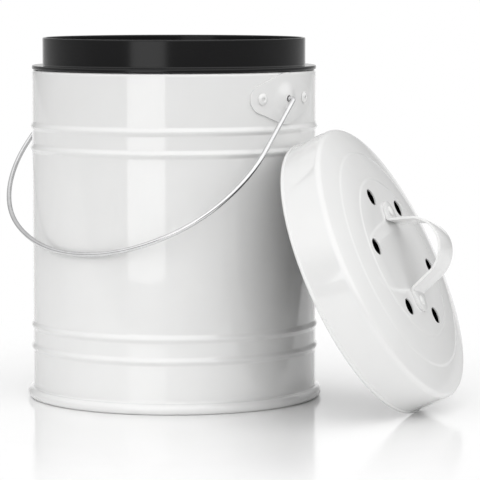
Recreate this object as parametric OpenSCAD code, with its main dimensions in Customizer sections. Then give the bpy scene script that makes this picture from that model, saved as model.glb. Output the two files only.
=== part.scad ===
// Compost caddy: steel can with a lift-out liner, a swinging bail and a loose vented lid.
// Origin on the can's axis at the table, +Z up, +X through the bail's right ear.
// The lid stands beside the can on its edge and leans on the can's wall.

/* [Can] */
// Outer radius of the can's wall
can_r = 90; // [86:0.5:92]
// Height of the rolled rim above the table
can_h = 207.5; // [200:0.5:225]
// Thickness of the can's and the lid's steel sheet
sheet_t = 0.8; // [0.6:0.1:1]
// How far a swaged bead stands out of the wall
bead_out = 1.1; // [0.6:0.1:1.2]
// Height of one swaged bead
bead_h = 6; // [4:0.5:8]
// Distance between the two beads of a pair
bead_gap = 13.7; // [10:0.1:16]
// Height of the lower pair's middle
low_pair_z = 39.2; // [25:0.1:60]
// Height of the upper pair's middle
high_pair_z = 165.2; // [150:0.1:165.2]
// Radius of the roll around the can's foot
foot_roll_r = 3.5; // [2.5:0.1:4]
// Radius of the roll around the can's rim
rim_roll_r = 1.75; // [1.2:0.05:2]
// Height of the bottom plate above the table
floor_z = 4.4; // [3:0.1:5]

/* [Ears] */
// Height of the bail's pivot axis
ear_z = 191.3; // [186:0.1:191.5]
// Thickness of an ear plate
ear_t = 1; // [0.8:0.1:1.2]
// Radius of the ear plate's middle
ear_mid_r = 15.9; // [14:0.1:16]
// Radius of the ear plate's ends around the rivets
ear_end_r = 9; // [7:0.5:9]
// Angle between the pivot and each rivet around the can
rivet_angle = 12.8; // [12.8:0.1:16]
// Height of the pressed dome above the can's wall
dome_h = 3.6; // [3.2:0.1:4]
// Radius of the ball that shapes the pressed dome
dome_ball_r = 24.3; // [22:0.1:26]
// Thickness of the pressed dome's sheet
dome_t = 0.9; // [0.7:0.1:0.9]
// Radius of an ear rivet's head
rivet_head_r = 3.7; // [3:0.1:4]
// Radius of an ear rivet's shank
rivet_r = 1.6; // [1.2:0.1:2]

/* [Bail] */
// Radius of the bail's wire
wire_r = 1.5; // [1.2:0.1:1.6]
// Distance from the can's axis to the bail's arms at the pivot
bail_half_w = 97.4; // [95.5:0.1:100]
// Distance from the pivot axis to the bail's far end
bail_reach = 132; // [126:1:140]
// Radius of the bail's far end
bail_end_r = 112.8; // [105:0.1:125]
// Half the angle that the far end turns through
bail_end_angle = 34.8; // [30:0.1:40]
// Angle by which the arms spread
bail_splay = 1.9; // [0:0.1:3]
// Radial clearance of the wire in the ear's hole
pin_gap = 0.06; // [0.02:0.01:0.1]

/* [Liner] */
// Outer radius of the liner's collar
collar_r = 83.2; // [80:0.1:84]
// Height of the collar above the flange
collar_h = 17.4; // [12:0.1:20]
// Thickness of the liner's flange
flange_t = 2.4; // [1.6:0.1:3]
// Thickness of the liner's wall
liner_t = 1.8; // [1.2:0.1:2.5]
// Outer radius of the liner's bottom
liner_foot_r = 77; // [70:1:80]
// Height of the liner's bottom above the table
liner_z = 8; // [6.5:0.5:14]

/* [Lid] */
// Outer radius of the lid's rolled edge
lid_r = 90; // [88:0.5:92]
// Radius of the lid's rolled edge itself
hem_r = 1.3; // [1:0.1:1.6]
// Height of the shoulder above the edge
shoulder_z = 27.2; // [24:0.1:30]
// Height of the flat middle above the edge
middle_z = 34; // [32:0.1:36]
// Radius of the flat middle, beyond which the top curves down
flat_r = 38; // [38:1:44]
// Radius at which the inner ring's step begins
inner_ring_r = 50.7; // [49:0.1:52]
// Radius at which the outer ring's step begins
outer_ring_r = 69.6; // [68:0.1:74]
// Height of each ring's step
ring_step = 0.3; // [0.2:0.05:0.6]
// Radius of the circle of vent holes
vent_pcd_r = 42; // [38:0.5:44]
// Radius of a vent hole
vent_r = 5.3; // [3:0.1:6]
// Angle from the lid's own level direction to the strap handle
strap_angle = 75.2; // [60:0.1:90]
// Width of the strap handle at its top
strap_w = 21; // [18:0.5:22]
// Radius of the strap handle's bowed edges
strap_edge_r = 150; // [120:5:200]
// Thickness of the strap handle
strap_t = 1.5; // [1:0.1:2]
// Height of the strap handle above the lid
strap_h = 28.4; // [27:0.1:32]
// Distance from the lid's centre to the foot of a leg
leg_s = 24.2; // [23:0.1:25]
// Angle by which the legs lean inwards
leg_angle = 19; // [10:1:22]
// Distance from the lid's centre to a handle rivet
strap_rivet_s = 30; // [30:0.1:31]
// Radius of the charcoal filter
filter_r = 61.9; // [50:0.1:62]
// Thickness of the charcoal filter
filter_t = 10; // [6:0.5:11]

/* [Leaning lid] */
// Angle of the lid's axis above the level
lean = 25.35; // [20:0.05:30]
// Direction in which the lid's outside faces, from +X
lid_turn = 19.5; // [5:0.1:30]
// Direction of the lid's centre from the can's axis, from +X
lid_bearing = 10; // [5:0.1:15]
// Distance of the lid's centre from the can's axis
lid_far = 131.3; // [131.3:0.1:140]

/* [Hidden] */

enamel = [0.94, 0.94, 0.93];
steel = [0.78, 0.79, 0.8];
black_plastic = [0.09, 0.09, 0.1];
charcoal = [0.05, 0.05, 0.05];

touch = 0.05;      // gap between pieces that are pressed together
free_gap = 0.3;    // gap between pieces that move apart
wall_in_r = can_r - sheet_t;
ear_out_r = can_r + touch + ear_t;
roll_cut = 18;     // angle at which the foot roll is flattened
foot_roll_z = foot_roll_r * cos(roll_cut);
rest_angle = asin((can_r + wire_r + free_gap) / bail_reach);
bail_corner_r = corner_radius();
joint_gap = 0.1; // left between two lengths of wire, inside the ball that joins them
joint_swell = 0.05;
rim_seat_z = can_h + free_gap;
lid_z = (lid_r - hem_r) * cos(lean) + hem_r + 0.1;
step_w = 2.2;      // width over which a step of the lid falls
shoulder_r = 3.6;  // rounding between the lid's skirt and its top
shoulder_a = 76;   // angle at which that rounding meets the top
skirt_r = lid_r - 0.6;
edge_r = skirt_r - shoulder_r + shoulder_r * cos(shoulder_a);
holder_z = lid_top(outer_ring_r) - sheet_t - touch;
arch_r = (leg_s * cos(leg_angle) - strap_h * sin(leg_angle)) / (1 - sin(leg_angle));

$fn = 96;

// Points on an arc about [x, y]; angles in degrees.
function arc(x, y, r, a, b, n) =
    [for (i = [0:n]) let (t = a + (b - a) * i / n) [x + r * cos(t), y + r * sin(t)]];

// How far the lid's top has dropped at radius r through the step that begins at radius from.
function ring_drop(r, from) =
    ring_step * (0.5 - 0.5 * cos(180 * min(1, max(0, (r - from) / step_w))));

// Height of the lid's top at radius r: flat middle, then a curve with two small steps.
function lid_top(r) =
    middle_z - ring_drop(r, inner_ring_r) - ring_drop(r, outer_ring_r)
    - (middle_z - shoulder_z - 2 * ring_step) * pow(max(0, r - flat_r) / (edge_r - flat_r), 2);

// Radii at which the lid's top is drawn, close together on the steps.
function spread(a, b, n) = [for (i = [0:n - 1]) a + (b - a) * i / n];

lid_radii = concat(
    spread(flat_r, inner_ring_r, 4), spread(inner_ring_r, inner_ring_r + step_w, 5),
    spread(inner_ring_r + step_w, outer_ring_r, 5), spread(outer_ring_r, outer_ring_r + step_w, 5),
    spread(outer_ring_r + step_w, edge_r, 5));

// Points up one bead on a wall of radius r, about height z.
function bead(r, z, n = 10) =
    [for (i = [0:n]) [r + bead_out * (0.5 - 0.5 * cos(360 * i / n)), z + bead_h * (i / n - 0.5)]];

function all_beads(r) = concat(
    bead(r, low_pair_z - bead_gap / 2), bead(r, low_pair_z + bead_gap / 2),
    bead(r, high_pair_z - bead_gap / 2), bead(r, high_pair_z + bead_gap / 2));

function backward(list) = [for (i = [len(list) - 1:-1:0]) list[i]];

function heading(a) = [cos(a), sin(a)];

// Radius of the bail's corners, which join the spread arms to the far end.
function corner_radius() =
    (bail_half_w - bail_end_r * sin(bail_end_angle)
        + (bail_reach - bail_end_r + bail_end_r * cos(bail_end_angle)) * tan(bail_splay))
    / (cos(bail_splay) - sin(bail_end_angle)
        + (cos(bail_end_angle) + sin(bail_splay)) * tan(bail_splay));

// A cylinder from p to q in the XY plane.
module rod(p, q, r) {
    d = q - p;
    translate([p[0], p[1], 0])
        rotate([0, 90, atan2(d[1], d[0])])
            cylinder(r = r, h = norm(d));
}

// Round wire bent about c from angle a through turn, stopping joint_gap short of both ends.
module bent_wire(c, bend_r, a, turn) {
    short = joint_gap / bend_r * 180 / PI;
    translate([c[0], c[1], 0])
        rotate([0, 0, a + short])
            rotate_extrude(angle = turn - 2 * short)
                translate([bend_r, 0]) circle(r = wire_r, $fn = 32);
}

// A ball, a hair larger than the wire, that closes the gap between two of its lengths.
module wire_joint(p) {
    translate([p[0], p[1], 0]) sphere(r = wire_r + joint_swell, $fn = 48);
}

// Points its children's Z axis out of the can, a degrees round from the ear on side s.
module on_wall(s, a) {
    mirror([s < 0 ? 1 : 0, 0, 0])
        rotate([0, 0, a])
            translate([0, 0, ear_z])
                rotate([0, 90, 0]) children();
}

// Puts its children, modelled with the lid's edge on z = 0, where the lid leans.
module leaning() {
    translate([lid_far * cos(lid_bearing), lid_far * sin(lid_bearing), lid_z])
        rotate([90 - lean, 0, 90 + lid_turn])
            translate([0, 0, -hem_r]) children();
}

// ---- Can ----

// Swaged sheet, rolled outwards round the foot and inwards round the rim.
module can_wall() {
    rim_z = can_h - rim_roll_r;
    outer = concat(
        [[can_r - 1, 0]],
        arc(can_r + 0.2, foot_roll_z, foot_roll_r, roll_cut - 90, 84, 14),
        [[can_r, 2 * foot_roll_r + 1.6]],
        all_beads(can_r),
        arc(can_r - rim_roll_r, rim_z, rim_roll_r, 0, 225, 14));
    inner = concat(
        [[wall_in_r, rim_z - rim_roll_r - 0.8]],
        backward(all_beads(wall_in_r)),
        [[wall_in_r, 1.2]]);
    color(enamel)
        difference() {
            rotate_extrude() polygon(concat(outer, inner));
            for (s = [-1, 1], a = [-rivet_angle, rivet_angle])
                on_wall(s, a)
                    translate([0, 0, wall_in_r - 2]) cylinder(r = rivet_r + touch, h = 5);
        }
}

// Sunk bottom plate with a turned-down edge inside the foot roll.
module can_base() {
    r = wall_in_r - touch;
    color(enamel)
        rotate_extrude()
            polygon(concat(
                [[0, floor_z], [r - 2.4, floor_z]],
                arc(r - 2.4, floor_z - 1.6, 1.6, 90, 0, 5),
                [[r - sheet_t, 0.6], [r, 0.6]],
                arc(r - 2.4, floor_z - 1.6, 2.4, 0, 90, 6),
                [[0, floor_z + 0.8]]));
}

// ---- Ears and bail ----

// Outline of an ear plate: a round middle with near tangents to two round ends.
module ear_outline() {
    d = ear_out_r * sin(rivet_angle);
    t = asin((ear_mid_r - ear_end_r) / d);
    inset = 0.98;
    tx = [ear_mid_r * sin(t) * inset, d + ear_end_r * sin(t) * inset];
    ty = [ear_mid_r * cos(t) * inset, ear_end_r * cos(t) * inset];
    circle(r = ear_mid_r);
    for (s = [-1, 1]) translate([0, s * d]) circle(r = ear_end_r);
    polygon([
        [ty[0], tx[0]], [ty[1], tx[1]], [-ty[1], tx[1]], [-ty[0], tx[0]],
        [-ty[0], -tx[0]], [-ty[1], -tx[1]], [ty[1], -tx[1]], [ty[0], -tx[0]]
    ]);
}

// Plate that follows the wall, with a hollow dome for the wire's headed end.
module ear(s) {
    ball_x = can_r + dome_h - dome_ball_r;
    color(enamel)
        difference() {
            union() {
                intersection() {
                    on_wall(s, 0) linear_extrude(height = can_r + 20) ear_outline();
                    cylinder(r = ear_out_r, h = can_h);
                }
                on_wall(s, 0)
                    intersection() {
                        translate([0, 0, ball_x]) sphere(r = dome_ball_r);
                        translate([0, 0, can_r - 10]) cylinder(r = ear_mid_r - 1, h = 30);
                    }
            }
            cylinder(r = can_r + touch, h = can_h);
            on_wall(s, 0) {
                translate([0, 0, ball_x]) sphere(r = dome_ball_r - dome_t);
                translate([0, 0, can_r - 5]) cylinder(r = wire_r + pin_gap, h = 20);
            }
            for (a = [-rivet_angle, rivet_angle])
                on_wall(s, a) translate([0, 0, can_r - 5]) cylinder(r = rivet_r + touch, h = 20);
        }
}

module ear_right() { ear(1); }
module ear_left() { ear(-1); }

// Blind rivet: domed head with the broken stem's hole, shank and inner bulb.
module ear_rivet(s, a) {
    under = ear_out_r + touch;
    inside = wall_in_r * cos(2) - touch;
    color(enamel)
        on_wall(s, a)
            rotate_extrude(convexity = 4)
                polygon(concat(
                    [[0, inside - 2], [1.6, inside - 2], [2.5, inside - 1], [2.5, inside]],
                    [[rivet_r, inside], [rivet_r, under], [rivet_head_r, under]],
                    [[rivet_head_r, under + 0.4], [2.9, under + 1.0], [2.0, under + 1.35]],
                    [[1.1, under + 1.45], [0.95, under + 1.3], [0.95, under + 0.2], [0, under + 0.2]]));
}

module ear_rivet_right_front() { ear_rivet(1, -rivet_angle); }
module ear_rivet_right_back() { ear_rivet(1, rivet_angle); }
module ear_rivet_left_front() { ear_rivet(-1, -rivet_angle); }
module ear_rivet_left_back() { ear_rivet(-1, rivet_angle); }

// One wire: headed end behind each ear, elbow, spread arm, corner and far end.
module bail_wire() {
    elbow_r = 2.1;
    head_x = can_r + 1.3;
    elbow_c = [bail_half_w - elbow_r, elbow_r];
    end_c = [0, bail_reach - bail_end_r];
    corner_c = end_c + (bail_end_r - bail_corner_r) * heading(90 - bail_end_angle);
    arm_from = elbow_c + elbow_r * heading(-bail_splay);
    arm_to = corner_c + bail_corner_r * heading(-bail_splay);
    color(steel)
        translate([0, 0, ear_z])
            rotate([270 - rest_angle, 0, 0]) {
                for (s = [0, 1])
                    mirror([s, 0, 0]) {
                        rod([head_x, 0], [head_x + 1, 0], 2.6);
                        rod([head_x, 0], [elbow_c[0] - joint_gap, 0], wire_r);
                        wire_joint([elbow_c[0], 0]);
                        bent_wire(elbow_c, elbow_r, -90, 90 - bail_splay);
                        wire_joint(arm_from);
                        rod(arm_from + joint_gap * heading(90 - bail_splay),
                            arm_to - joint_gap * heading(90 - bail_splay), wire_r);
                        wire_joint(arm_to);
                        bent_wire(corner_c, bail_corner_r, -bail_splay, 90 - bail_end_angle + bail_splay);
                        wire_joint(end_c + bail_end_r * heading(90 - bail_end_angle));
                    }
                bent_wire(end_c, bail_end_r, 90 - bail_end_angle, 2 * bail_end_angle);
            }
}

// ---- Liner ----

// Bucket that hangs in the can by its flange, with a collar that the lid covers.
module liner_bucket() {
    top = rim_seat_z + flange_t + collar_h;
    in_r = collar_r - liner_t;
    lip = liner_t / 2;
    color(black_plastic)
        rotate_extrude()
            polygon(concat(
                [[0, liner_z]],
                arc(liner_foot_r - 4, liner_z + 4, 4, -90, 0, 6),
                [[in_r + 0.6, rim_seat_z - 6], [in_r + 0.6, rim_seat_z]],
                [[can_r - 0.3, rim_seat_z], [can_r, rim_seat_z + 0.3]],
                [[can_r, rim_seat_z + flange_t - 0.6], [can_r - 0.6, rim_seat_z + flange_t]],
                arc(collar_r + 1, rim_seat_z + flange_t + 1, 1, 270, 180, 4),
                arc(collar_r - lip, top - lip, lip, 0, 180, 8),
                [[in_r, rim_seat_z], [in_r - 1, rim_seat_z - 8]],
                arc(liner_foot_r - 4.6, liner_z + liner_t + 3, 3, 0, -90, 6),
                [[0, liner_z + liner_t]]));
}

// ---- Lid ----

// Stepped top on a skirt with a rolled edge.
module lid_shell() {
    t = sheet_t;
    round_z = shoulder_z - shoulder_r * sin(shoulder_a);
    outer = concat(
        [[0, middle_z]],
        [for (r = lid_radii) [r, lid_top(r)]],
        arc(skirt_r - shoulder_r, round_z, shoulder_r, shoulder_a, 0, 8),
        arc(lid_r - hem_r, hem_r, hem_r, 50, -230, 18));
    inner = concat(
        arc(skirt_r - shoulder_r, round_z, shoulder_r - t, 0, shoulder_a, 8),
        backward([for (r = lid_radii) [r, lid_top(r) - t]]),
        [[0, middle_z - t]]);
    color(enamel)
        leaning()
            difference() {
                rotate_extrude() polygon(concat(outer, inner));
                for (k = [0:5])
                    rotate([0, 0, strap_angle + 30 + 60 * k])
                        translate([vent_pcd_r, 0, middle_z - 5]) cylinder(r = vent_r, h = 10);
                for (s = [-1, 1])
                    rotate([0, 0, strap_angle])
                        translate([s * strap_rivet_s, 0, middle_z - 5]) cylinder(r = 2 + touch, h = 10);
            }
}

// Side outline of the arch with radius r, whose legs reach the lid at distance s.
module arch_outline(r, s) {
    inset = 0.98;
    z = strap_h - arch_r;
    p = [r * cos(leg_angle) * inset, z + r * sin(leg_angle) * inset];
    translate([0, z]) circle(r = r);
    polygon([[-s, 0], [s, 0], p, [-p[0], p[1]]]);
}

// Steel strap bent into an arch with leaning legs and two flat feet, cut with bowed edges.
module strap_handle() {
    inner_s = leg_s - strap_t / cos(leg_angle);
    end_r = 7.8;
    end_s = strap_rivet_s - 1;
    foot_s = (inner_s + 0.6 + end_s + end_r + 1) / 2;
    foot_w = 2 * (foot_s - inner_s - 0.6);
    bow = strap_edge_r - strap_w / 2;
    color(enamel)
        leaning()
            rotate([0, 0, strap_angle])
                translate([0, 0, middle_z + touch])
                    difference() {
                        intersection() {
                            rotate([90, 0, 0])
                                linear_extrude(height = 30, center = true) {
                                    difference() {
                                        intersection() {
                                            arch_outline(arch_r, leg_s);
                                            translate([-40, 0]) square([80, 40]);
                                        }
                                        arch_outline(arch_r - strap_t, inner_s);
                                    }
                                    for (s = [-1, 1])
                                        translate([s * foot_s, strap_t / 2])
                                            square([foot_w, strap_t], center = true);
                                }
                            linear_extrude(height = strap_h + 5)
                                intersection() {
                                    translate([0, bow]) circle(r = strap_edge_r);
                                    translate([0, -bow]) circle(r = strap_edge_r);
                                    union() {
                                        translate([-end_s, -20]) square([2 * end_s, 40]);
                                        translate([end_s, 0]) circle(r = end_r);
                                        translate([-end_s, 0]) circle(r = end_r);
                                    }
                                }
                        }
                        for (s = [-1, 1])
                            translate([s * strap_rivet_s, 0, -1]) cylinder(r = 2 + touch, h = 5);
                    }
}

// Solid rivet through a strap foot and the lid's sheet.
module handle_rivet(s) {
    head_z = middle_z + strap_t + 2 * touch;
    tail_z = middle_z - sheet_t - touch;
    color(enamel)
        leaning()
            rotate([0, 0, strap_angle])
                translate([s * strap_rivet_s, 0, 0])
                    rotate_extrude()
                        polygon([
                            [0, tail_z - 0.9], [2.4, tail_z - 0.9], [3.1, tail_z - 0.5], [3.1, tail_z],
                            [2, tail_z], [2, head_z], [3.4, head_z], [3.4, head_z + 0.3],
                            [2.7, head_z + 0.9], [1.5, head_z + 1.2], [0, head_z + 1.3]
                        ]);
}

module handle_rivet_upper() { handle_rivet(1); }
module handle_rivet_lower() { handle_rivet(-1); }

// Ring pressed under the lid, whose cup grips the charcoal filter.
module filter_holder() {
    cup_r = filter_r + free_gap;
    inner = inner_ring_r + 4.5;
    outer = outer_ring_r - 0.5;
    color(black_plastic)
        leaning()
            rotate_extrude()
                polygon([
                    [inner, holder_z], [outer, holder_z], [outer, holder_z - 1.2],
                    [cup_r + 2.2, holder_z - 1.2], [cup_r + 1.5, holder_z - 2.4],
                    [cup_r + 1.5, holder_z - 12.5], [cup_r, holder_z - 12.5],
                    [cup_r, holder_z - 1.2], [inner, holder_z - 1.2]
                ]);
}

// Round pad of charcoal-filled foam behind the vent holes.
module charcoal_filter() {
    top = holder_z - 1.2 - free_gap;
    color(charcoal)
        leaning()
            translate([0, 0, top - filter_t]) cylinder(r = filter_r, h = filter_t);
}

can_wall();
can_base();
ear_right();
ear_left();
ear_rivet_right_front();
ear_rivet_right_back();
ear_rivet_left_front();
ear_rivet_left_back();
bail_wire();
liner_bucket();
lid_shell();
strap_handle();
handle_rivet_upper();
handle_rivet_lower();
filter_holder();
charcoal_filter();
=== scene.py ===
import bpy
from math import asin, cos, degrees, hypot, pi, radians, sin, sqrt, tan
from mathutils import Euler, Matrix


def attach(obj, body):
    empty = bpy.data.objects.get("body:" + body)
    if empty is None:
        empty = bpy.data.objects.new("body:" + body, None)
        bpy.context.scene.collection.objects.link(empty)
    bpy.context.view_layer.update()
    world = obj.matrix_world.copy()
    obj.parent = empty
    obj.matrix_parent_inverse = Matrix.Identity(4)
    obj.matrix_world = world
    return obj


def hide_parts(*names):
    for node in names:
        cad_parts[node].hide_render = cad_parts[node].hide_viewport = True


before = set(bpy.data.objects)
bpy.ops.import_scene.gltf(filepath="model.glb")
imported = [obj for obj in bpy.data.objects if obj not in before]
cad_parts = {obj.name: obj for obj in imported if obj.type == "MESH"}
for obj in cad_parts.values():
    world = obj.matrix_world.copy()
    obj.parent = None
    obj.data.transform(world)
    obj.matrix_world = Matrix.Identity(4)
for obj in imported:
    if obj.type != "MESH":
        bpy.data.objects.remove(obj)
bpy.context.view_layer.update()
mm = 0.001
weld = 0.002 * mm     # points nearer than this are one point
touch = 0.05          # gap between pieces that touch, mm
print("frame loaded:", len(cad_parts), "nodes")

camera = {
    "bearing": 41.0,      # degrees from -Y towards +X
    "distance": 1760.3,   # from the can's axis, mm
    "height": 263.7,
    "tiltDown": 5.36,
    "panRight": 1.36,
    "lens": 207.84,
    "sensor": 36.0,
    "farthest": 50.0,     # that it sees, m
}


def placeCamera():
    c = camera
    a = radians(c["bearing"])
    place = (sin(a) * c["distance"] * mm, -cos(a) * c["distance"] * mm, c["height"] * mm)
    bpy.ops.object.camera_add(location=place, rotation=(
        radians(90 - c["tiltDown"]), 0, radians(c["bearing"] - c["panRight"])))
    cam = bpy.context.object
    cam.name = "studioCamera"
    cam.data.lens = c["lens"]
    cam.data.sensor_width = c["sensor"]
    cam.data.clip_end = c["farthest"]
    bpy.context.scene.camera = cam


placeCamera()


def newMaterial(name):
    mat = bpy.data.materials.new(name)
    mat.use_nodes = True
    shader = mat.node_tree.nodes["Principled BSDF"]
    return mat, mat.node_tree, shader


def addNode(tree, kind, **settings):
    node = tree.nodes.new(kind)
    for key, value in settings.items():
        if key in node.inputs:
            node.inputs[key].default_value = value
        else:
            setattr(node, key, value)
    return node


def noiseOn(tree, scale, detail):
    # noise on the object's own coordinates, its scale in waves per metre
    coords = addNode(tree, "ShaderNodeTexCoord")
    noise = addNode(tree, "ShaderNodeTexNoise", Scale=scale, Detail=detail)
    tree.links.new(coords.outputs["Object"], noise.inputs["Vector"])
    return noise


def rampBetween(tree, source, low, high, start=0.35, end=0.65):
    ramp = addNode(tree, "ShaderNodeValToRGB")
    ramp.color_ramp.elements[0].position = start
    ramp.color_ramp.elements[0].color = (*low, 1)
    ramp.color_ramp.elements[1].position = end
    ramp.color_ramp.elements[1].color = (*high, 1)
    tree.links.new(source, ramp.inputs["Fac"])
    return ramp.outputs["Color"]


def rangeBetween(tree, source, low, high, start=0, end=1):
    span = addNode(tree, "ShaderNodeMapRange")
    span.inputs["From Min"].default_value = start
    span.inputs["From Max"].default_value = end
    span.inputs["To Min"].default_value = low
    span.inputs["To Max"].default_value = high
    tree.links.new(source, span.inputs["Value"])
    return span.outputs["Result"]


def bumpFrom(tree, source, strength, depth, shader):
    bump = addNode(tree, "ShaderNodeBump", Strength=strength, Distance=depth)
    tree.links.new(source, bump.inputs["Height"])
    tree.links.new(bump.outputs["Normal"], shader.inputs["Normal"])


enamelFinish = {
    "low": (0.785, 0.785, 0.78),
    "high": (0.8, 0.8, 0.795),
    "roughness": (0.1, 0.14),
    "coatRoughness": 0.02,
    "ior": 1.5,
    "mottle": (35, 3),    # waves per metre, and detail
    "peel": (420, 1.5),
    "peelStrength": 0.06,
    "peelDepth": 0.03,    # mm
}


def makeEnamel():
    # glossy powder coat: clear skin over a very soft orange peel, a trace of mottling
    q = enamelFinish
    mat, tree, shader = newMaterial("whiteEnamel")
    mottle = noiseOn(tree, *q["mottle"])
    peel = noiseOn(tree, *q["peel"])
    tree.links.new(rampBetween(tree, mottle.outputs["Fac"], q["low"], q["high"]), shader.inputs["Base Color"])
    tree.links.new(rangeBetween(tree, mottle.outputs["Fac"], *q["roughness"]), shader.inputs["Roughness"])
    shader.inputs["Coat Weight"].default_value = 1.0
    shader.inputs["Coat Roughness"].default_value = q["coatRoughness"]
    shader.inputs["IOR"].default_value = q["ior"]
    bumpFrom(tree, peel.outputs["Fac"], q["peelStrength"], q["peelDepth"] * mm, shader)
    return mat


steelFinish = {
    "low": (0.64, 0.64, 0.645),
    "high": (0.7, 0.7, 0.705),
    "roughness": (0.05, 0.09),
    "haze": (160, 2),
    "hazeStrength": 0.03,
    "hazeDepth": 0.01,
}


def makePolishedSteel():
    # bright chromed wire with the faintest haze
    q = steelFinish
    mat, tree, shader = newMaterial("polishedSteel")
    haze = noiseOn(tree, *q["haze"])
    shader.inputs["Metallic"].default_value = 1
    tree.links.new(rampBetween(tree, haze.outputs["Fac"], q["low"], q["high"]), shader.inputs["Base Color"])
    tree.links.new(rangeBetween(tree, haze.outputs["Fac"], *q["roughness"]), shader.inputs["Roughness"])
    bumpFrom(tree, haze.outputs["Fac"], q["hazeStrength"], q["hazeDepth"] * mm, shader)
    return mat


linerFinish = {
    "low": (0.0025, 0.0025, 0.0028),
    "high": (0.0038, 0.0038, 0.0042),
    "roughness": (0.15, 0.2),
    "ior": 1.4,
    "flow": (18, 3),
    "grain": (900, 2),
    "grainStrength": 0.08,
    "grainDepth": 0.02,
}


def makeLinerPlastic():
    # moulded black plastic, half glossy
    q = linerFinish
    mat, tree, shader = newMaterial("linerPlastic")
    flow = noiseOn(tree, *q["flow"])
    grain = noiseOn(tree, *q["grain"])
    tree.links.new(rampBetween(tree, flow.outputs["Fac"], q["low"], q["high"]), shader.inputs["Base Color"])
    tree.links.new(rangeBetween(tree, flow.outputs["Fac"], *q["roughness"]), shader.inputs["Roughness"])
    shader.inputs["IOR"].default_value = q["ior"]
    bumpFrom(tree, grain.outputs["Fac"], q["grainStrength"], q["grainDepth"] * mm, shader)
    return mat


holderFinish = {
    "low": (0.012, 0.012, 0.013),
    "high": (0.03, 0.03, 0.031),
    "roughness": 0.55,
    "grain": (1600, 3),
    "grainStrength": 0.3,
    "grainDepth": 0.1,
}


def makeHolderPlastic():
    # dull black plastic with a fine spark-eroded skin
    q = holderFinish
    mat, tree, shader = newMaterial("holderPlastic")
    grain = noiseOn(tree, *q["grain"])
    tree.links.new(rampBetween(tree, grain.outputs["Fac"], q["low"], q["high"]), shader.inputs["Base Color"])
    shader.inputs["Roughness"].default_value = q["roughness"]
    bumpFrom(tree, grain.outputs["Fac"], q["grainStrength"], q["grainDepth"] * mm, shader)
    return mat


foamFinish = {
    # colours: painted shade deep in each pore (low), painted light on the cell walls (high)
    "low": (0.004, 0.004, 0.004),
    "high": (0.035, 0.035, 0.036),
    "poreShadeEdges": (0.1, 0.7),    # where the painted shade in a pore gives way to the painted light on its wall
    "roughness": (0.75, 0.95),
    "cells": 750.0,
    "dust": (220, 4),
    "cellStrength": 0.8,
    "cellDepth": 0.6,
}


def makeCharcoalFoam():
    # open black foam: round cells, with painted shade deep in each pore and painted light on the cell walls
    q = foamFinish
    mat, tree, shader = newMaterial("charcoalFoam")
    coords = addNode(tree, "ShaderNodeTexCoord")
    cells = addNode(tree, "ShaderNodeTexVoronoi", Scale=q["cells"])
    tree.links.new(coords.outputs["Object"], cells.inputs["Vector"])
    dust = noiseOn(tree, *q["dust"])
    # painted shade in the pores and painted light on the walls, from the same cells as the bump
    poreShade = rampBetween(tree, cells.outputs["Distance"], q["low"], q["high"], *q["poreShadeEdges"])
    tree.links.new(poreShade, shader.inputs["Base Color"])
    tree.links.new(rangeBetween(tree, dust.outputs["Fac"], *q["roughness"]), shader.inputs["Roughness"])
    bumpFrom(tree, cells.outputs["Distance"], q["cellStrength"], q["cellDepth"] * mm, shader)
    return mat


enamel = makeEnamel()
polishedSteel = makePolishedSteel()
linerPlastic = makeLinerPlastic()
holderPlastic = makeHolderPlastic()
charcoalFoam = makeCharcoalFoam()
print("materials ready")


def clearSelection():
    if bpy.context.object and bpy.context.object.mode != "OBJECT":
        bpy.ops.object.mode_set(mode="OBJECT")
    bpy.ops.object.select_all(action="DESELECT")


def chooseOnly(obj):
    clearSelection()
    obj.select_set(True)
    bpy.context.view_layer.objects.active = obj


def arcPoints(cx, cy, r, start, end, steps):
    return [(cx + r * cos(radians(start + (end - start) * i / steps)),
             cy + r * sin(radians(start + (end - start) * i / steps))) for i in range(steps + 1)]


def drawOutline(name, points):
    # one vertex pulled along an outline in the XZ plane; the points are in mm
    clearSelection()
    x, z = points[0]
    bpy.ops.mesh.primitive_plane_add(size=mm, location=(x * mm, 0, z * mm))
    obj = bpy.context.object
    obj.name = name
    bpy.ops.object.mode_set(mode="EDIT")
    bpy.ops.mesh.merge(type="CENTER")
    for nx, nz in points[1:]:
        bpy.ops.mesh.extrude_region_move(
            TRANSFORM_OT_translate={"value": ((nx - x) * mm, 0, (nz - z) * mm)})
        x, z = nx, nz
    bpy.ops.object.mode_set(mode="OBJECT")
    bpy.ops.object.transform_apply(location=True, rotation=True, scale=True)
    return obj


def spinRound(obj, steps, closed=False):
    # turns an outline into a round shell about Z and points its faces outwards
    chooseOnly(obj)
    bpy.ops.object.mode_set(mode="EDIT")
    bpy.ops.mesh.select_all(action="SELECT")
    if closed:
        bpy.ops.mesh.edge_face_add()
        bpy.ops.mesh.delete(type="ONLY_FACE")
        bpy.ops.mesh.select_all(action="SELECT")
    bpy.ops.mesh.spin(steps=steps, angle=2 * pi, center=(0, 0, 0), axis=(0, 0, 1))
    bpy.ops.mesh.select_all(action="SELECT")
    bpy.ops.mesh.remove_doubles(threshold=weld)
    bpy.ops.mesh.normals_make_consistent(inside=False)
    bpy.ops.object.mode_set(mode="OBJECT")


def applyModifier(obj, kind, **settings):
    chooseOnly(obj)
    modifier = obj.modifiers.new(kind.title(), kind)
    for key, value in settings.items():
        setattr(modifier, key, value)
    bpy.ops.object.modifier_apply(modifier=modifier.name)


def smoothEdges(obj, crease=40):
    # edges bent by more than the crease angle stay sharp
    chooseOnly(obj)
    bpy.ops.object.shade_smooth_by_angle(angle=radians(crease))


def dressPiece(obj, material, body, nodes=()):
    obj.data.materials.clear()
    obj.data.materials.append(material)
    if nodes:
        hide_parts(*nodes)
    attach(obj, body)


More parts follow.
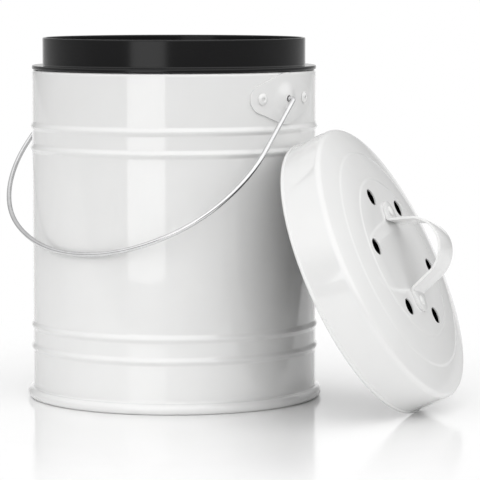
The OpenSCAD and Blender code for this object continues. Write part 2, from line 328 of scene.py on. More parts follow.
can = {
    "radius": 90.0,
    "height": 207.5,
    "sheet": 0.8,
    "beadOut": 1.1,
    "beadHeight": 6.0,
    "beadGap": 13.7,
    "lowPair": 39.2,
    "highPair": 165.2,
    "footRoll": 3.5,
    "footFlat": 18,       # degrees by which the foot roll is flattened
    "footTurn": 84,       # degrees above the level at which it ends
    "footShift": 0.2,     # its middle outside the wall
    "footNeck": 1.6,      # height of the neck over it
    "neckStart": 0.35,    # over the roll's top
    "footHem": 0.9,       # width of the flat inside it
    "rimRoll": 1.75,
    "rimTurn": 225,       # degrees that the rim roll turns through
    "floorHeight": 4.4,
    "floorBend": 1.6,
    "floorHem": 0.6,      # height of the turned-down edge's end
    "floorRing": 52.0,    # start of the pressed ring, and how wide and high it is
    "floorRingWidth": 4.0,
    "floorRingRise": 0.7,
    "floorRingSteps": 8,
    "floorCrease": 35,
    "brace": 0.5,         # from a bend to the point that keeps a straight run straight
    "steps": 240,
    "floorSteps": 180,
}


def beadPoints(r, z, steps=20):
    # the first and last points keep the plain wall beside the bead straight
    bead = [(r + can["beadOut"] * (0.5 - 0.5 * cos(2 * pi * i / steps)),
             z + can["beadHeight"] * (i / steps - 0.5)) for i in range(steps + 1)]
    return [(r, bead[0][1] - can["brace"])] + bead + [(r, bead[-1][1] + can["brace"])]


def buildCanWall():
    r, roll, rim = can["radius"], can["footRoll"], can["rimRoll"]
    rollZ = roll * cos(radians(can["footFlat"]))
    neck = 2 * roll + can["footNeck"]
    points = [(r - can["footHem"], 0)]
    points += arcPoints(r + can["footShift"], rollZ, roll, can["footFlat"] - 90, can["footTurn"], 20)
    points += [(r + can["footShift"] / 2, 2 * roll + can["neckStart"])]
    points += [(r, neck), (r, neck + can["brace"])]
    for pair in (can["lowPair"], can["highPair"]):
        for side in (-0.5, 0.5):
            points += beadPoints(r, pair + side * can["beadGap"])
    points.append((r, can["height"] - rim - can["brace"]))
    points += arcPoints(r - rim, can["height"] - rim, rim, 0, can["rimTurn"], 16)
    wall = drawOutline("canWall", points)
    spinRound(wall, can["steps"])
    applyModifier(wall, "SOLIDIFY", thickness=can["sheet"] * mm, offset=-1, use_even_offset=True)
    smoothEdges(wall)
    dressPiece(wall, enamel, "can", ["can_wall"])


def buildCanFloor():
    # sunk bottom plate with one pressed ring and a turned-down edge
    r, z, t = can["radius"] - can["sheet"] - touch, can["floorHeight"], can["sheet"]
    bend, rise = can["floorBend"], can["floorRingRise"] / 2
    steps = can["floorRingSteps"]
    points = [(0, z)]
    points += [(can["floorRing"] + can["floorRingWidth"] * i / steps,
                z + rise - rise * cos(2 * pi * i / steps)) for i in range(steps + 1)]
    points += arcPoints(r - t - bend, z - bend, bend, 90, 0, 6) + [(r - t, can["floorHem"])]
    plate = drawOutline("canFloor", points)
    spinRound(plate, can["floorSteps"])
    applyModifier(plate, "SOLIDIFY", thickness=t * mm, offset=1, use_even_offset=True)
    smoothEdges(plate, can["floorCrease"])
    dressPiece(plate, enamel, "can", ["can_base"])


buildCanWall()
buildCanFloor()
print("can ready")

ear = {
    "pivotHeight": 191.3,
    "sheet": 1.0,
    "drawnSheet": 0.98,     # what is left of it after pressing
    "middleRadius": 15.9,
    "endRadius": 9.0,
    "rivetAngle": 12.8,
    "domeHeight": 2.55,     # above the plate
    "domeRadius": 12.4,
    "holeRadius": 2.1,
    "holeSides": 32,
    "drillLength": 20.0,
    "cutAngle": 55,         # edges sharper than this are rounded
    "slice": 0.75,          # size of the mesh squares that let the plate bend
    "sliceReach": (32, 16),  # how far the cuts go, along the wall and upwards
    "edgeRound": 0.3,
    "endSteps": 24,         # points round each end, and along the middle's two sides
    "middleSteps": 8,
}


def earOutline():
    # a round middle with tangents to two round ends; along the wall in X, up in Z
    half = radians(ear["rivetAngle"]) * (can["radius"] + touch)
    r, e = ear["middleRadius"], ear["endRadius"]
    lean = degrees(asin((r - e) / half))
    points = arcPoints(half, 0, e, -90 + lean, 90 - lean, ear["endSteps"])
    points += arcPoints(0, 0, r, 90 - lean, 90 + lean, ear["middleSteps"])
    points += arcPoints(-half, 0, e, 90 + lean, 270 - lean, ear["endSteps"])
    points += arcPoints(0, 0, r, 270 - lean, 270 + lean, ear["middleSteps"])[:-1]
    return points


def domeRise(d):
    if d >= ear["domeRadius"]:
        return 0
    return ear["domeHeight"] * (0.5 + 0.5 * cos(pi * d / ear["domeRadius"]))


def buildEar(name, side, node):
    plate = drawOutline(name, earOutline())
    bpy.ops.object.mode_set(mode="EDIT")
    bpy.ops.mesh.select_all(action="SELECT")
    bpy.ops.mesh.edge_face_add()
    for axis, reach in zip((0, 2), ear["sliceReach"]):
        normal = [0, 0, 0]
        normal[axis] = 1
        steps = int(reach / ear["slice"])
        for i in range(-steps, steps + 1):
            point = [0, 0, 0]
            point[axis] = i * ear["slice"] * mm
            bpy.ops.mesh.select_all(action="SELECT")
            bpy.ops.mesh.bisect(plane_co=point, plane_no=normal)
    bpy.ops.object.mode_set(mode="OBJECT")
    r = (can["radius"] + touch + ear["sheet"]) * mm
    for vertex in plate.data.vertices:
        x, z = vertex.co.x, vertex.co.z
        out = r + domeRise(hypot(x, z) / mm) * mm
        vertex.co = (out * cos(x / r), out * sin(x / r), z + ear["pivotHeight"] * mm)
    chooseOnly(plate)
    bpy.ops.object.mode_set(mode="EDIT")
    bpy.ops.mesh.select_all(action="SELECT")
    bpy.ops.mesh.normals_make_consistent(inside=False)
    bpy.ops.object.mode_set(mode="OBJECT")
    if plate.data.polygons[0].normal.x < 0:
        plate.data.flip_normals()
    applyModifier(plate, "SOLIDIFY", thickness=ear["drawnSheet"] * mm, offset=-1, use_even_offset=True)
    clearSelection()
    bpy.ops.mesh.primitive_cylinder_add(
        vertices=ear["holeSides"], radius=ear["holeRadius"] * mm, depth=ear["drillLength"] * mm,
        location=(r, 0, ear["pivotHeight"] * mm), rotation=(0, pi / 2, 0))
    drill = bpy.context.object
    applyModifier(plate, "BOOLEAN", operation="DIFFERENCE", object=drill, solver="EXACT")
    bpy.data.objects.remove(drill)
    applyModifier(plate, "BEVEL", width=ear["edgeRound"] * mm, segments=3, limit_method="ANGLE",
                  angle_limit=radians(ear["cutAngle"]), harden_normals=False)
    chooseOnly(plate)
    if side < 0:
        plate.rotation_euler.z = pi
        bpy.ops.object.transform_apply(location=True, rotation=True, scale=True)
    smoothEdges(plate)
    dressPiece(plate, enamel, "can", [node])


def placeOnWall(obj, angle):
    # turns a piece spun about Z so that it points out of the can at that angle
    obj.matrix_world = (Matrix.Translation((0, 0, ear["pivotHeight"] * mm))
                        @ Matrix.Rotation(radians(angle), 4, "Z") @ Matrix.Rotation(pi / 2, 4, "Y"))
    chooseOnly(obj)
    bpy.ops.object.transform_apply(location=True, rotation=True, scale=True)


earRivet = {
    "lift": 0.1,            # of its flange over the plate's back
    "stem": 1.6,
    "bulb": 2.3,            # behind the wall, and how far inwards it reaches
    "bulbLength": 2.0,
    "bulbFlat": 1.4,        # radius of its flat end
    "bulbBend": 0.8,        # round beside it
    "bulbBendAt": (1.7, 1.2),   # middle of that round: from the axis, and behind the wall
    "bulbBendEnd": 60,
    "bulbGap": 0.12,
    "flange": 3.4,          # out to its rounded edge
    "flangeEdge": 0.3,
    "flangeEdgeEnd": 60,
    "domeRadius": 2.85,
    "domeAt": (1.3, -1.4),  # middle of its curve: from the axis, and from the seat
    "domeArc": (48, 84),
    # hollow left by the snapped pin: from the axis, and above the seat
    "bore": ((1.15, 1.3), (1.0, 1.1), (0.95, 0.35), (0.6, 0.2), (0, 0.3)),
    "steps": 48,
}


def buildEarRivet(name, angle, node):
    # blind rivet: domed flange round the hollow end of its snapped stem
    q = earRivet
    stem, edge = q["stem"], q["flangeEdge"]
    seat = can["radius"] + ear["sheet"] + q["lift"]
    inner = can["radius"] - can["sheet"] - q["bulbGap"]
    bendX, bendIn = q["bulbBendAt"]
    domeX, domeZ = q["domeAt"]
    points = [(0, inner - q["bulbLength"]), (q["bulbFlat"], inner - q["bulbLength"])]
    points += arcPoints(bendX, inner - bendIn, q["bulbBend"], -90, q["bulbBendEnd"], 6)
    points += [(q["bulb"], inner), (stem, inner), (stem, seat), (q["flange"], seat)]
    points += arcPoints(q["flange"], seat + edge, edge, -90, q["flangeEdgeEnd"], 5)
    points += arcPoints(domeX, seat + domeZ, q["domeRadius"], *q["domeArc"], 8)
    points += [(x, seat + z) for x, z in q["bore"]]
    rivet = drawOutline(name, points)
    spinRound(rivet, q["steps"])
    smoothEdges(rivet)
    placeOnWall(rivet, angle)
    dressPiece(rivet, enamel, "can", [node])


buildEar("earPlateRight", 1, "ear_right")
buildEar("earPlateLeft", -1, "ear_left")
for sideName, base, sign in (("right", 0, 1), ("left", 180, -1)):
    for endName, way in (("front", -1), ("back", 1)):
        buildEarRivet(f"earRivet_{sideName}_{endName}", base + sign * way * ear["rivetAngle"],
                      f"ear_rivet_{sideName}_{endName}")
print("ears ready")

bail = {
    "wire": 1.5,
    "headRadius": 2.6,
    "headStart": 91.3,
    "headLength": 0.9,
    "halfWidth": 97.4,
    "reach": 132.0,
    "endRadius": 112.8,
    "endAngle": 34.8,
    "splay": 1.9,
    "elbow": 2.1,
    "restGap": 0.3,
    "sides": 32,
    "elbowSteps": 12,
    "cornerSteps": 48,
    "endSteps": 72,
}


def buildBail():
    # one wire, drawn flat in the XY plane and then hung on its pivot
    b = bail
    w, e, far = b["halfWidth"], b["elbow"], radians(b["endAngle"])
    splay = radians(b["splay"])
    pin = w - e - b["headStart"] - b["headLength"]
    endY = b["reach"] - b["endRadius"]
    corner = ((w - b["endRadius"] * sin(far) + (endY + b["endRadius"] * cos(far)) * tan(splay))
              / (cos(splay) - sin(far) + (cos(far) + sin(splay)) * tan(splay)))
    cornerX = (b["endRadius"] - corner) * sin(far)
    cornerY = endY + (b["endRadius"] - corner) * cos(far)
    clearSelection()
    bpy.ops.mesh.primitive_circle_add(vertices=b["sides"], radius=b["headRadius"] * mm, fill_type="NGON",
                                      location=(b["headStart"] * mm, 0, 0), rotation=(0, pi / 2, 0))
    wire = bpy.context.object
    wire.name = "bailWire"
    bpy.ops.object.transform_apply(location=True, rotation=True, scale=True)
    bpy.ops.object.mode_set(mode="EDIT")
    bpy.ops.mesh.select_all(action="SELECT")

    def pull(x, y):
        bpy.ops.mesh.extrude_region_move(TRANSFORM_OT_translate={"value": (x * mm, y * mm, 0)})

    def swing(x, y, turn, steps):
        # spin turns clockwise about its axis
        bpy.ops.mesh.spin(steps=steps, angle=-turn, center=(x * mm, y * mm, 0), axis=(0, 0, 1))

    pull(b["headLength"], 0)
    shrink = b["wire"] / b["headRadius"]
    bpy.ops.mesh.extrude_region_move()
    bpy.ops.transform.resize(value=(1, shrink, shrink))
    pull(pin, 0)
    swing(w - e, e, pi / 2 - splay, b["elbowSteps"])
    armX = w - e + e * cos(splay)
    armY = e - e * sin(splay)
    armLength = hypot(cornerX + corner * cos(splay) - armX, cornerY - corner * sin(splay) - armY)
    pull(armLength * sin(splay), armLength * cos(splay))
    swing(cornerX, cornerY, pi / 2 - far + splay, b["cornerSteps"])
    swing(0, endY, 2 * far, b["endSteps"])
    swing(-cornerX, cornerY, pi / 2 - far + splay, b["cornerSteps"])
    pull(armLength * sin(splay), -armLength * cos(splay))
    swing(-(w - e), e, pi / 2 - splay, b["elbowSteps"])
    pull(pin, 0)
    bpy.ops.mesh.extrude_region_move()
    bpy.ops.transform.resize(value=(1, 1 / shrink, 1 / shrink))
    pull(b["headLength"], 0)
    bpy.ops.mesh.select_all(action="SELECT")
    bpy.ops.mesh.remove_doubles(threshold=weld)
    bpy.ops.mesh.normals_make_consistent(inside=False)
    bpy.ops.object.mode_set(mode="OBJECT")
    rest = asin((can["radius"] + b["wire"] + b["restGap"]) / b["reach"])
    wire.rotation_euler.x = 1.5 * pi - rest
    wire.location.z = ear["pivotHeight"] * mm
    chooseOnly(wire)
    bpy.ops.object.transform_apply(location=True, rotation=True, scale=True)
    smoothEdges(wire)
    dressPiece(wire, polishedSteel, "bail", ["bail_wire"])


buildBail()
print("bail ready")

liner = {
    "collarRadius": 83.2,
    "collarHeight": 17.4,
    "flange": 2.4,
    "seat": 207.8,          # height of the flange's underside
    "wall": 1.8,
    "waist": 0.6,           # of the wall's outside under the flange, past the collar's inside
    "waistDown": 6.0,       # how far it goes straight down
    "waistCorner": 0.4,
    # inside of the wall: how far it has drawn in, and where from the seat
    "inside": ((0, 2), (0.1, 1), (0.15, -1), (1, -8)),
    "lip": 0.65,            # rounding of the collar's edge, whose inside opens outwards
    "neckRound": 1.0,       # where the collar meets the flange
    "rimEdge": 0.8,         # rounding of the flange's upper edge, and of its lower one
    "rimUnder": 0.5,
    "footRadius": 77.0,
    "footRound": 4.0,
    "footRing": 11.0,       # width of the ring that it stands on
    "bottom": 8.0,
    "bottomRise": 0.6,      # of the bottom inside that ring, and again in the middle
    "gate": 14.0,           # radius of the raised middle
    "floorRound": 3.0,
    "floorRoundAt": 4.6,    # its middle from the foot's outside
    "floorRise": 0.3,       # of the floor inside
    "floorMiddle": 39.0,
    "crease": 35,
    "steps": 220,
}


def buildLiner():
    q = liner
    seat, bottom, rise = q["seat"], q["bottom"], q["bottomRise"]
    flangeTop = seat + q["flange"]
    top = flangeTop + q["collarHeight"]
    inR = q["collarRadius"] - q["wall"]
    waist = inR + q["waist"]
    lip, neck, rim, under = q["lip"], q["neckRound"], q["rimEdge"], q["rimUnder"]
    ringIn = q["footRadius"] - q["footRing"]
    bend, corner = q["footRound"], q["floorRound"]
    points = [(0, bottom + 2 * rise), (q["gate"], bottom + 2 * rise), (q["gate"] + 1, bottom + rise)]
    points += [(ringIn - 1, bottom + rise), (ringIn, bottom)]
    points += arcPoints(q["footRadius"] - bend, bottom + bend, bend, -90, 0, 10)
    points += [(waist, seat - q["waistDown"]), (waist, seat - q["waistCorner"])]
    points.append((waist + q["waistCorner"], seat))
    points += arcPoints(can["radius"] - under, seat + under, under, -90, 0, 5)
    points += arcPoints(can["radius"] - rim, flangeTop - rim, rim, 0, 90, 6)
    points += arcPoints(q["collarRadius"] + neck, flangeTop + neck, neck, 270, 180, 6)
    points.append((q["collarRadius"], flangeTop + neck + can["brace"]))
    points.append((q["collarRadius"], top - lip - can["brace"]))
    points += arcPoints(q["collarRadius"] - lip, top - lip, lip, 0, 180, 10)
    points.append((q["collarRadius"] - 2 * lip, top - lip - can["brace"]))
    points += [(inR - drawn, seat + z) for drawn, z in q["inside"]]
    floorZ = bottom + q["wall"]
    points += arcPoints(q["footRadius"] - q["floorRoundAt"], floorZ + corner, corner, 0, -90, 8)
    points += [(q["floorMiddle"] + 1, floorZ), (q["floorMiddle"], floorZ + q["floorRise"])]
    points.append((0, floorZ + q["floorRise"]))
    bucket = drawOutline("linerBucket", points)
    spinRound(bucket, q["steps"])
    smoothEdges(bucket, q["crease"])
    dressPiece(bucket, linerPlastic, "liner", ["liner_bucket"])


buildLiner()
print("liner ready")

lid = {
    "radius": 90.0,
    "hem": 1.3,
    "hemArc": (60, -200),
    "sheet": 0.8,
    "sideStart": 3.25,      # height at which the side stands up from the hem
    "skirtInset": 0.6,      # of the side from the hem's outside
    "shoulder": 27.2,
    "middle": 34.0,
    "flatRadius": 38.0,
    "innerRing": 50.7,
    "outerRing": 69.6,
    "ringStep": 0.3,
    "stepWidth": 2.2,
    "shoulderRound": 3.6,
    "shoulderAngle": 76,
    "vents": 6,
    "ventCircle": 42.0,
    "ventRadius": 5.3,
    "ventSides": 64,
    "punchLength": 10.0,
    "strapAngle": 75.2,
    "lean": 25.35,          # the lid's axis above the level
    "turn": 19.5,           # the way that its outside faces, from +X
    "bearing": 10.0,        # of its centre, from +X
    "far": 131.3,
    "tableGap": 0.1,        # under the hem
    "topSteps": 110,        # points along the curve of its top
    "steps": 240,
}


def leaningMatrix():
    centreZ = (lid["radius"] - lid["hem"]) * cos(radians(lid["lean"])) + lid["hem"] + lid["tableGap"]
    b = radians(lid["bearing"])
    place = Matrix.Translation((lid["far"] * cos(b) * mm, lid["far"] * sin(b) * mm, centreZ * mm))
    turn = Euler((radians(90 - lid["lean"]), 0, radians(90 + lid["turn"]))).to_matrix().to_4x4()
    return place @ turn @ Matrix.Translation((0, 0, -lid["hem"] * mm))


def leanPiece(obj, turn=0):
    # from the lid's own upright place to where the lid leans
    obj.matrix_world = leaningMatrix() @ Matrix.Rotation(radians(turn), 4, "Z") @ obj.matrix_world
    chooseOnly(obj)
    bpy.ops.object.transform_apply(location=True, rotation=True, scale=True)


def ringDrop(r, start):
    share = min(1, max(0, (r - start) / lid["stepWidth"]))
    return lid["ringStep"] * (0.5 - 0.5 * cos(pi * share))


def shoulderEdge():
    bend = lid["shoulderRound"]
    return lid["radius"] - lid["skirtInset"] - bend * (1 - cos(radians(lid["shoulderAngle"])))


def lidTop(r):
    # flat middle, then a shallow curve with two small steps
    edge = shoulderEdge()
    fall = lid["middle"] - lid["shoulder"] - 2 * lid["ringStep"]
    bend = max(0, r - lid["flatRadius"]) / (edge - lid["flatRadius"])
    return lid["middle"] - ringDrop(r, lid["innerRing"]) - ringDrop(r, lid["outerRing"]) - fall * bend ** 2


def punchVent(shell, x, y):
    clearSelection()
    bpy.ops.mesh.primitive_cylinder_add(vertices=lid["ventSides"], radius=lid["ventRadius"] * mm,
                                        depth=lid["punchLength"] * mm,
                                        location=(x * mm, y * mm, lid["middle"] * mm))
    punch = bpy.context.object
    applyModifier(shell, "BOOLEAN", operation="DIFFERENCE", object=punch, solver="EXACT")
    bpy.data.objects.remove(punch)


def buildLidShell():
    skirt = lid["radius"] - lid["skirtInset"]
    bend = lid["shoulderRound"]
    edge = shoulderEdge()
    roundZ = lid["shoulder"] - bend * sin(radians(lid["shoulderAngle"]))
    points = [(0, lid["middle"]), (lid["flatRadius"], lid["middle"])]
    for i in range(1, lid["topSteps"]):
        r = lid["flatRadius"] + (edge - lid["flatRadius"]) * i / lid["topSteps"]
        points.append((r, lidTop(r)))
    points += arcPoints(skirt - bend, roundZ, bend, lid["shoulderAngle"], 0, 14)
    points += [(skirt, roundZ - can["brace"]), (skirt, lid["sideStart"])]
    points += arcPoints(lid["radius"] - lid["hem"], lid["hem"], lid["hem"], *lid["hemArc"], 20)
    shell = drawOutline("lidShell", points)
    spinRound(shell, lid["steps"])
    applyModifier(shell, "SOLIDIFY", thickness=lid["sheet"] * mm, offset=-1, use_even_offset=True)
    for k in range(lid["vents"]):
        a = radians(lid["strapAngle"] + 360 * (k + 0.5) / lid["vents"])
        punchVent(shell, lid["ventCircle"] * cos(a), lid["ventCircle"] * sin(a))
    leanPiece(shell)
    smoothEdges(shell)
    dressPiece(shell, enamel, "lid", ["lid_shell"])


strap = {
    "width": 21.0,          # at its top
    "edgeBow": 150.0,       # radius of its bowed edges
    "sheet": 1.5,
    "height": 28.4,
    "legAt": 24.2,
    "legLean": 19,
    "rivetAt": 30.0,
    "endRadius": 7.8,
    "endInset": 1.0,        # of the round end's middle from the rivet
    "bend": 3.0,
    "edgeRound": 0.35,
    "cutAngle": 55,
    "footSteps": 24,
}


def strapHalfWidth(s):
    # bowed edges, and round ends beyond the rivets
    q = strap
    bowed = q["width"] / 2 - q["edgeBow"] + sqrt(q["edgeBow"] ** 2 - s ** 2)
    past = abs(s) - (q["rivetAt"] - q["endInset"])
    if past <= 0:
        return bowed
    return min(bowed, sqrt(max(0, q["endRadius"] ** 2 - past ** 2)))


def strapUnderside():
    # one half from the foot's end to the top of the arch, then its mirror image
    q = strap
    tilt = radians(q["legLean"])
    arch = (q["legAt"] * cos(tilt) - q["height"] * sin(tilt)) / (1 - sin(tilt))
    legAt = q["legAt"] - q["sheet"] / cos(tilt)
    tangent = q["bend"] * tan((pi / 2 - tilt) / 2)
    end = q["rivetAt"] - q["endInset"] + q["endRadius"]
    straight = end - legAt - tangent
    steps = q["footSteps"]
    half = [(end - straight * (1 - cos(pi / 2 * i / steps)), 0) for i in range(steps)]
    half += arcPoints(legAt + tangent, q["bend"], q["bend"], -90, q["legLean"] - 180, 10)
    half += arcPoints(0, q["height"] - arch, arch - q["sheet"], q["legLean"], 90, 36)
    return half + [(-x, z) for x, z in reversed(half[:-1])]


def buildStrap():
    # a ribbon along the underside, given its width and then its thickness
    bar = drawOutline("strapHandle", [(x, lid["middle"] + touch + z) for x, z in strapUnderside()])
    chooseOnly(bar)
    bpy.ops.object.mode_set(mode="EDIT")
    bpy.ops.mesh.select_all(action="SELECT")
    bpy.ops.mesh.extrude_region_move(TRANSFORM_OT_translate={"value": (0, mm, 0)})
    bpy.ops.object.mode_set(mode="OBJECT")
    for vertex in bar.data.vertices:
        side = 1 if vertex.co.y > 0.5 * mm else -1
        vertex.co.y = side * strapHalfWidth(vertex.co.x / mm) * mm
    chooseOnly(bar)
    bpy.ops.object.mode_set(mode="EDIT")
    bpy.ops.mesh.select_all(action="SELECT")
    bpy.ops.mesh.remove_doubles(threshold=weld)
    bpy.ops.mesh.normals_make_consistent(inside=False)
    bpy.ops.object.mode_set(mode="OBJECT")
    top = max(bar.data.polygons, key=lambda face: face.center.z)
    if top.normal.z < 0:
        bar.data.flip_normals()
    applyModifier(bar, "SOLIDIFY", thickness=strap["sheet"] * mm, offset=1, use_even_offset=True)
    applyModifier(bar, "BEVEL", width=strap["edgeRound"] * mm, segments=3, limit_method="ANGLE",
                  angle_limit=radians(strap["cutAngle"]), harden_normals=False)
    leanPiece(bar, lid["strapAngle"])
    smoothEdges(bar)
    dressPiece(bar, enamel, "lid", ["strap_handle"])


handleRivet = {
    "lift": 0.1,            # of its head over the strap
    "shank": 2.0,
    "tail": 3.0,            # under the sheet
    "tailHeight": 0.9,
    "tailFlat": 2.4,        # radius of its flat end
    "tailRound": 0.4,
    "head": 3.25,
    "headFoot": 3.2,        # radius of its flat underside
    "headEdge": 0.25,
    "headEdgeAt": 3.1,
    "headEdgeArc": (-60, 40),
    "headSide": 0.45,       # height from which its dome rises
    "headRise": 0.85,
    "headStart": 10,        # degrees up the dome at which its curve starts
    "steps": 48,
}


def buildHandleRivet(name, way, node):
    # domed head on the strap's foot, shank and flattened tail under the sheet
    q = handleRivet
    seat = lid["middle"] + strap["sheet"] + q["lift"]
    tail = lid["middle"] - lid["sheet"] - touch
    bend, edge = q["tailRound"], q["headEdge"]
    points = [(0, tail - q["tailHeight"]), (q["tailFlat"], tail - q["tailHeight"])]
    points += arcPoints(q["tail"] - bend, tail - q["tailHeight"] + bend, bend, -80, 0, 5)
    points += [(q["tail"], tail), (q["shank"], tail), (q["shank"], seat), (q["headFoot"], seat)]
    points += arcPoints(q["headEdgeAt"], seat + edge, edge, *q["headEdgeArc"], 5)
    points += [(q["head"] * cos(radians(a)), seat + q["headSide"] + q["headRise"] * sin(radians(a)))
               for a in range(q["headStart"], 91, 8)]
    rivet = drawOutline(name, points)
    spinRound(rivet, q["steps"])
    rivet.matrix_world = Matrix.Translation((way * strap["rivetAt"] * mm, 0, 0))
    leanPiece(rivet, lid["strapAngle"])
    smoothEdges(rivet)
    dressPiece(rivet, enamel, "lid", [node])


buildLidShell()
buildStrap()
buildHandleRivet("handleRivetUpper", 1, "handle_rivet_upper")
buildHandleRivet("handleRivetLower", -1, "handle_rivet_lower")
print("lid ready")

charcoal = {
    "padRadius": 61.9,
    "padThickness": 10.0,
    "padRound": 0.8,
    "gap": 0.3,
    "flangeIn": 55.2,
    "flangeOut": 69.1,
    "flange": 1.2,
    "flangeEdge": 0.4,
    "cupWall": 1.5,
    "cupDepth": 12.5,
    "cupRoot": 0.7,         # rounding where the cup meets the flange
    "padWaist": 0.15,       # how far the pad's middle draws in
    "crease": 35,
    "holderSteps": 200,
    "padSteps": 160,
}


def buildFilterHolder():
    # pressed-in ring with a rolled-in lip, stiffened where the cup meets the flange
    q = charcoal
    top = lidTop(lid["outerRing"]) - lid["sheet"] - touch
    cup = q["padRadius"] + q["gap"]
    low = top - q["flange"]
    half, lip = q["cupWall"] / 2, q["flange"] / 2
    edge, root = q["flangeEdge"], q["cupRoot"]
    points = [(q["flangeIn"] + lip / 2, top), (q["flangeOut"] - edge, top)]
    points += arcPoints(q["flangeOut"] - edge, top - edge, edge, 80, 0, 4)
    points += arcPoints(q["flangeOut"] - edge, low + edge, edge, 0, -90, 4)
    points += arcPoints(cup + q["cupWall"] + root, low - root, root, 90, 180, 5)
    points += arcPoints(cup + half, top - q["cupDepth"] + half, half, 0, -180, 8)
    points += [(cup, low), (q["flangeIn"] + lip / 2, low)]
    points += arcPoints(q["flangeIn"] + lip, top - lip, lip, 260, 110, 6)
    holder = drawOutline("filterHolder", points)
    spinRound(holder, q["holderSteps"], closed=True)
    leanPiece(holder)
    smoothEdges(holder, q["crease"])
    dressPiece(holder, holderPlastic, "lid", ["filter_holder"])


def buildCharcoalPad():
    # die-cut foam disc with softened edges
    q = charcoal
    top = lidTop(lid["outerRing"]) - lid["sheet"] - touch - q["flange"] - q["gap"]
    bottom = top - q["padThickness"]
    e = q["padRound"]
    points = [(0, bottom), (q["padRadius"] / 2, bottom)]
    points += arcPoints(q["padRadius"] - e, bottom + e, e, -90, 0, 6)
    points += [(q["padRadius"] - q["padWaist"], (bottom + top) / 2)]
    points += arcPoints(q["padRadius"] - e, top - e, e, 0, 90, 6) + [(q["padRadius"] / 2, top), (0, top)]
    pad = drawOutline("charcoalPad", points)
    spinRound(pad, q["padSteps"])
    leanPiece(pad)
    smoothEdges(pad, q["crease"])
    dressPiece(pad, charcoalFoam, "filter", ["charcoal_filter"])


buildFilterHolder()
buildCharcoalPad()
print("filter ready")

studio = {
    "overhead": 1.92,        # brightness of the tent's top
    "backShare": 0.2,        # of it that is left at the back
    "keyAngle": 8.0,         # degrees that its brightest side lies right of the camera
    "topStart": 0.1,         # upward parts of a direction between which the top's light begins
    "topFull": 0.38,
    "horizon": 0.42,         # of the open room round it
    "backdrop": 1.0,         # of the white sweep behind the object
    "sweepStart": 0.92,      # backward parts of a direction between which the sweep begins
    "sweepFull": 0.985,
    "floorShade": 0.93,
    "floorRoughness": 0.12,
    "floorSize": 6.0,
    "floorEdge": 0.4,        # from the can's axis to the floor's front edge, m
    "fadeStart": 0.2,        # from the axis to where the floor starts to fade into white, m
    "windowAngle": 22.0,     # degrees left of the camera
    "windowAway": 2.0,
    "windowWide": 1.07,
    "windowHigh": 0.5,
    "windowLow": -0.13,
    "windowBright": 1.4,
}


def lightTent():
    # bright above and behind the object, dim round the horizon, plain white to look at
    world = bpy.data.worlds.new("studioTent")
    bpy.context.scene.world = world
    world.use_nodes = True
    tree = world.node_tree
    q = studio
    a = radians(camera["bearing"])
    coords = addNode(tree, "ShaderNodeTexCoord")
    split = addNode(tree, "ShaderNodeSeparateXYZ")
    tree.links.new(coords.outputs["Generated"], split.inputs["Vector"])
    behind = addNode(tree, "ShaderNodeVectorMath", operation="DOT_PRODUCT")
    tree.links.new(coords.outputs["Generated"], behind.inputs[0])
    behind.inputs[1].default_value = (-sin(a), cos(a), 0)
    front = addNode(tree, "ShaderNodeVectorMath", operation="DOT_PRODUCT")
    tree.links.new(coords.outputs["Generated"], front.inputs[0])
    key = a + radians(q["keyAngle"])
    front.inputs[1].default_value = (sin(key), -cos(key), 0)
    keyed = rangeBetween(tree, front.outputs["Value"], q["overhead"] * q["backShare"], q["overhead"], -1)
    height = rangeBetween(tree, split.outputs["Z"], 0, 1, q["topStart"], q["topFull"])
    above = addNode(tree, "ShaderNodeMix")
    tree.links.new(height, above.inputs["Factor"])
    above.inputs["A"].default_value = q["horizon"]
    tree.links.new(keyed, above.inputs["B"])
    sweep = rangeBetween(tree, behind.outputs["Value"], q["horizon"], q["backdrop"],
                         q["sweepStart"], q["sweepFull"])
    brighter = addNode(tree, "ShaderNodeMath", operation="MAXIMUM")
    tree.links.new(above.outputs["Result"], brighter.inputs[0])
    tree.links.new(sweep, brighter.inputs[1])
    path = addNode(tree, "ShaderNodeLightPath")
    seen = addNode(tree, "ShaderNodeMath", operation="MAXIMUM")
    tree.links.new(brighter.outputs[0], seen.inputs[0])
    tree.links.new(path.outputs["Is Camera Ray"], seen.inputs[1])
    background = tree.nodes["Background"]
    background.inputs["Color"].default_value = (1, 1, 1, 1)
    tree.links.new(seen.outputs[0], background.inputs["Strength"])


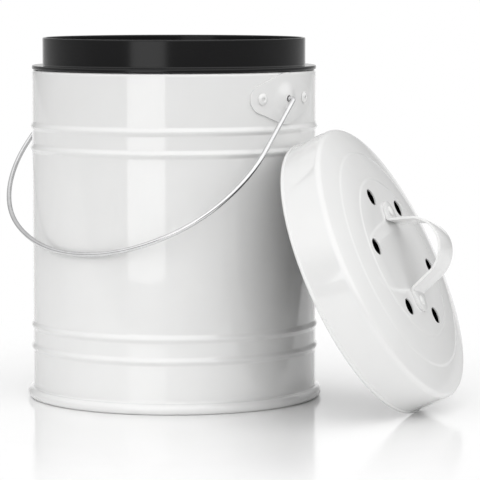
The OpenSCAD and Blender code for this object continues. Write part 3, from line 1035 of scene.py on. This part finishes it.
def setWindow():
    # low wide panel whose reflection stands on the can as an upright strip
    q = studio
    a = radians(camera["bearing"] - q["windowAngle"])
    height = q["windowLow"] + q["windowHigh"] / 2
    bpy.ops.object.light_add(type="AREA", rotation=(pi / 2, 0, a),
                             location=(sin(a) * q["windowAway"], -cos(a) * q["windowAway"], height))
    panel = bpy.context.object
    panel.name = "windowPanel"
    panel.data.shape = "RECTANGLE"
    panel.data.size = q["windowWide"]
    panel.data.size_y = q["windowHigh"]
    panel.data.energy = q["windowBright"] * pi * q["windowWide"] * q["windowHigh"]


def setFloor():
    q = studio
    a = radians(camera["bearing"])
    back = q["floorSize"] / 2 - q["floorEdge"]
    clearSelection()
    bpy.ops.mesh.primitive_plane_add(size=q["floorSize"], rotation=(0, 0, a),
                                     location=(-sin(a) * back, cos(a) * back, 0))
    floor = bpy.context.object
    floor.name = "studioFloor"
    mat, tree, shader = newMaterial("paleFloor")
    shader.inputs["Base Color"].default_value = (*[q["floorShade"]] * 3, 1)
    shader.inputs["Roughness"].default_value = q["floorRoughness"]
    # to look at, it fades into the white round it
    place = addNode(tree, "ShaderNodeNewGeometry")
    away = addNode(tree, "ShaderNodeVectorMath", operation="LENGTH")
    tree.links.new(place.outputs["Position"], away.inputs[0])
    fade = rangeBetween(tree, away.outputs["Value"], 0, 1, q["fadeStart"], q["floorEdge"])
    fade.node.interpolation_type = "SMOOTHSTEP"
    path = addNode(tree, "ShaderNodeLightPath")
    faded = addNode(tree, "ShaderNodeMath", operation="MULTIPLY")
    tree.links.new(fade, faded.inputs[0])
    tree.links.new(path.outputs["Is Camera Ray"], faded.inputs[1])
    white = addNode(tree, "ShaderNodeEmission")
    blend = addNode(tree, "ShaderNodeMixShader")
    tree.links.new(faded.outputs[0], blend.inputs[0])
    tree.links.new(shader.outputs["BSDF"], blend.inputs[1])
    tree.links.new(white.outputs["Emission"], blend.inputs[2])
    tree.links.new(blend.outputs["Shader"], tree.nodes["Material Output"].inputs["Surface"])
    floor.data.materials.append(mat)


lightTent()
setWindow()
setFloor()
bpy.context.scene.view_settings.view_transform = "Standard"
print("studio ready")
